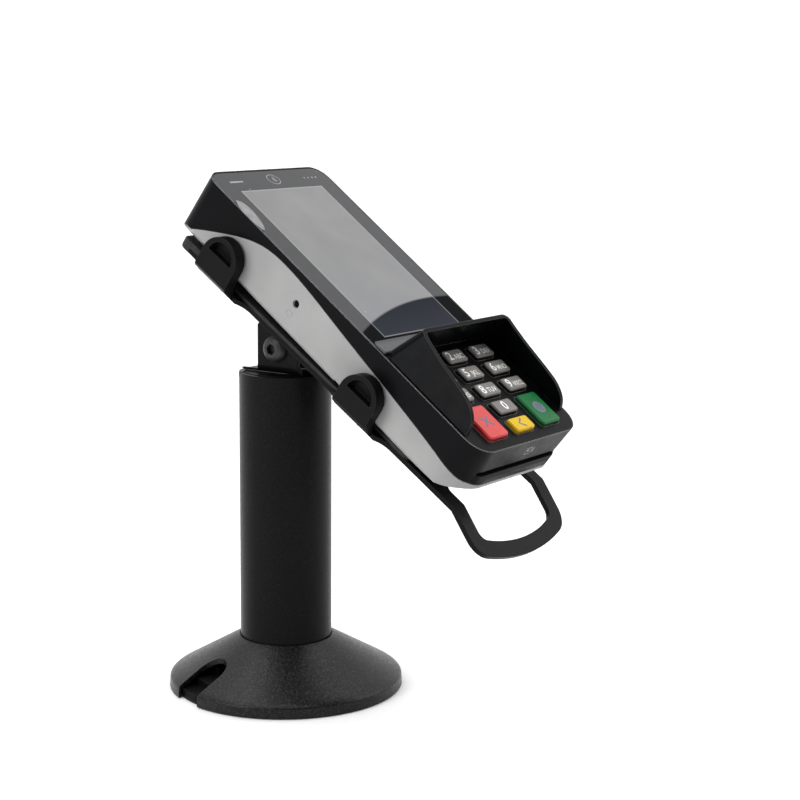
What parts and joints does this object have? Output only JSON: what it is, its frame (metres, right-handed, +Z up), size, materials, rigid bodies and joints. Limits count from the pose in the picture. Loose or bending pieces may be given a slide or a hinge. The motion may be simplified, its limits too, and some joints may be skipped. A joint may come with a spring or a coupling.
{
  "type": "card payment terminal on counter stand",
  "caption": "Card payment terminal with touch screen, shielded keypad and card slot, clipped in a cradle with a handle loop, on a tilting, swivelling counter pole.",
  "frame": {"origin": "on the pole's axis, at the underside of the base, which is the counter's surface", "axes": "+Z up along the pole, -Y toward the person who uses the keypad, +X to that person's right"},
  "size_m": [0.0976, 0.1676, 0.2146],
  "materials": {
    "base_coat": "textured powder coat, matte",
    "steel_plate": "zinc plated, dull",
    "rubber": "matte",
    "pole_coat": "satin powder coat",
    "bright_steel": "zinc plated",
    "dark_screw": "black oxide",
    "acetal": "natural",
    "head_coat": "satin powder coat",
    "clip_plastic": "fine grain",
    "case_black": "satin moulded",
    "case_grey": "satin moulded",
    "glass": "polished cover glass, printed black behind",
    "display": "unlit display",
    "film": "clear film tab",
    "shield": "satin moulded",
    "key_grey": "silicone-coated",
    "key_red": "moulded",
    "key_yellow": "moulded",
    "key_green": "moulded",
    "silicone": "translucent",
    "board": "solder resist",
    "copper": "etched"
  },
  "bodies": {
    "stand": {"base_pad": "rubber", "base_plate": "steel_plate", "pole_flange": "steel_plate", "flange_screws": "bright_steel", "base_cover": "base_coat", "cover_ring": "rubber", "pole_tube": "pole_coat", "swivel_core": "steel_plate", "core_screws": "dark_screw", "swivel_washer": "acetal"},
    "swivel_head": {"tilt_yoke": "head_coat", "swivel_spring": "bright_steel", "swivel_nut": "bright_steel", "pivot_bolt": "dark_screw", "pivot_nut": "bright_steel", "pivot_washers": "acetal"},
    "cradle": {"tilt_knuckle": "head_coat", "knuckle_screws": "bright_steel", "tilt_plate": "head_coat", "cradle_plate": "head_coat", "plate_screws": "bright_steel", "cradle_mat": "rubber", "clip_upper_right": "clip_plastic", "clip_lower_right": "clip_plastic", "clip_upper_left": "clip_plastic", "clip_lower_left": "clip_plastic", "clip_screws": "bright_steel", "clip_nuts": "bright_steel", "clip_liners": "rubber", "top_case": "case_black", "rear_shell": "case_grey", "case_screws": "bright_steel", "display_glass": "glass", "display_panel": "display", "film_tab": "film", "privacy_shield": "shield", "keypad_mat": "silicone", "main_board": "board", "card_reader": "case_black", "antenna": "copper", "speaker": "case_black", "usb_socket": "bright_steel"},
    "press_key_1": {"key_1": "key_grey"},
    "press_key_2": {"key_2": "key_grey"},
    "press_key_3": {"key_3": "key_grey"},
    "press_key_4": {"key_4": "key_grey"},
    "press_key_5": {"key_5": "key_grey"},
    "press_key_6": {"key_6": "key_grey"},
    "press_key_7": {"key_7": "key_grey"},
    "press_key_8": {"key_8": "key_grey"},
    "press_key_9": {"key_9": "key_grey"},
    "press_key_0": {"key_0": "key_grey"},
    "press_key_correct": {"key_correct": "key_yellow"},
    "press_key_cancel": {"key_cancel": "key_red"},
    "press_key_confirm": {"key_confirm": "key_green"},
    "press_power": {"power_button": "case_black"}
  },
  "joints": [
    {"name": "swivel", "type": "hinge", "parent": "stand", "child": "swivel_head", "pos_m": [0, 0, 0.133], "axis": [0, 0, 1], "range_deg": [-160, 160]},
    {"name": "tilt", "type": "hinge", "parent": "swivel_head", "child": "cradle", "pos_m": [0, -0.0034, 0.1434], "axis": [1, 0, 0], "range_deg": [-34.8, 28]},
    {"name": "key_1_press", "type": "slide", "parent": "cradle", "child": "press_key_1", "axis": [0, 0.599, -0.8007], "range_m": [0, 0.001], "stiffness_N_per_m": 700, "springref_m": -0.0007},
    {"name": "key_2_press", "type": "slide", "parent": "cradle", "child": "press_key_2", "axis": [0, 0.599, -0.8007], "range_m": [0, 0.001], "stiffness_N_per_m": 700, "springref_m": -0.0007},
    {"name": "key_3_press", "type": "slide", "parent": "cradle", "child": "press_key_3", "axis": [0, 0.599, -0.8007], "range_m": [0, 0.001], "stiffness_N_per_m": 700, "springref_m": -0.0007},
    {"name": "key_4_press", "type": "slide", "parent": "cradle", "child": "press_key_4", "axis": [0, 0.599, -0.8007], "range_m": [0, 0.001], "stiffness_N_per_m": 700, "springref_m": -0.0007},
    {"name": "key_5_press", "type": "slide", "parent": "cradle", "child": "press_key_5", "axis": [0, 0.599, -0.8007], "range_m": [0, 0.001], "stiffness_N_per_m": 700, "springref_m": -0.0007},
    {"name": "key_6_press", "type": "slide", "parent": "cradle", "child": "press_key_6", "axis": [0, 0.599, -0.8007], "range_m": [0, 0.001], "stiffness_N_per_m": 700, "springref_m": -0.0007},
    {"name": "key_7_press", "type": "slide", "parent": "cradle", "child": "press_key_7", "axis": [0, 0.599, -0.8007], "range_m": [0, 0.001], "stiffness_N_per_m": 700, "springref_m": -0.0007},
    {"name": "key_8_press", "type": "slide", "parent": "cradle", "child": "press_key_8", "axis": [0, 0.599, -0.8007], "range_m": [0, 0.001], "stiffness_N_per_m": 700, "springref_m": -0.0007},
    {"name": "key_9_press", "type": "slide", "parent": "cradle", "child": "press_key_9", "axis": [0, 0.599, -0.8007], "range_m": [0, 0.001], "stiffness_N_per_m": 700, "springref_m": -0.0007},
    {"name": "key_0_press", "type": "slide", "parent": "cradle", "child": "press_key_0", "axis": [0, 0.599, -0.8007], "range_m": [0, 0.001], "stiffness_N_per_m": 700, "springref_m": -0.0007},
    {"name": "key_correct_press", "type": "slide", "parent": "cradle", "child": "press_key_correct", "axis": [0, 0.599, -0.8007], "range_m": [0, 0.001], "stiffness_N_per_m": 700, "springref_m": -0.0007},
    {"name": "key_cancel_press", "type": "slide", "parent": "cradle", "child": "press_key_cancel", "axis": [0, 0.599, -0.8007], "range_m": [0, 0.001], "stiffness_N_per_m": 900, "springref_m": -0.0007},
    {"name": "key_confirm_press", "type": "slide", "parent": "cradle", "child": "press_key_confirm", "axis": [0, 0.599, -0.8007], "range_m": [0, 0.001], "stiffness_N_per_m": 900, "springref_m": -0.0007},
    {"name": "power_press", "type": "slide", "parent": "cradle", "child": "press_power", "axis": [1, 0, 0], "range_m": [0, 0.0005], "stiffness_N_per_m": 1200, "springref_m": -0.0004}
  ]
}
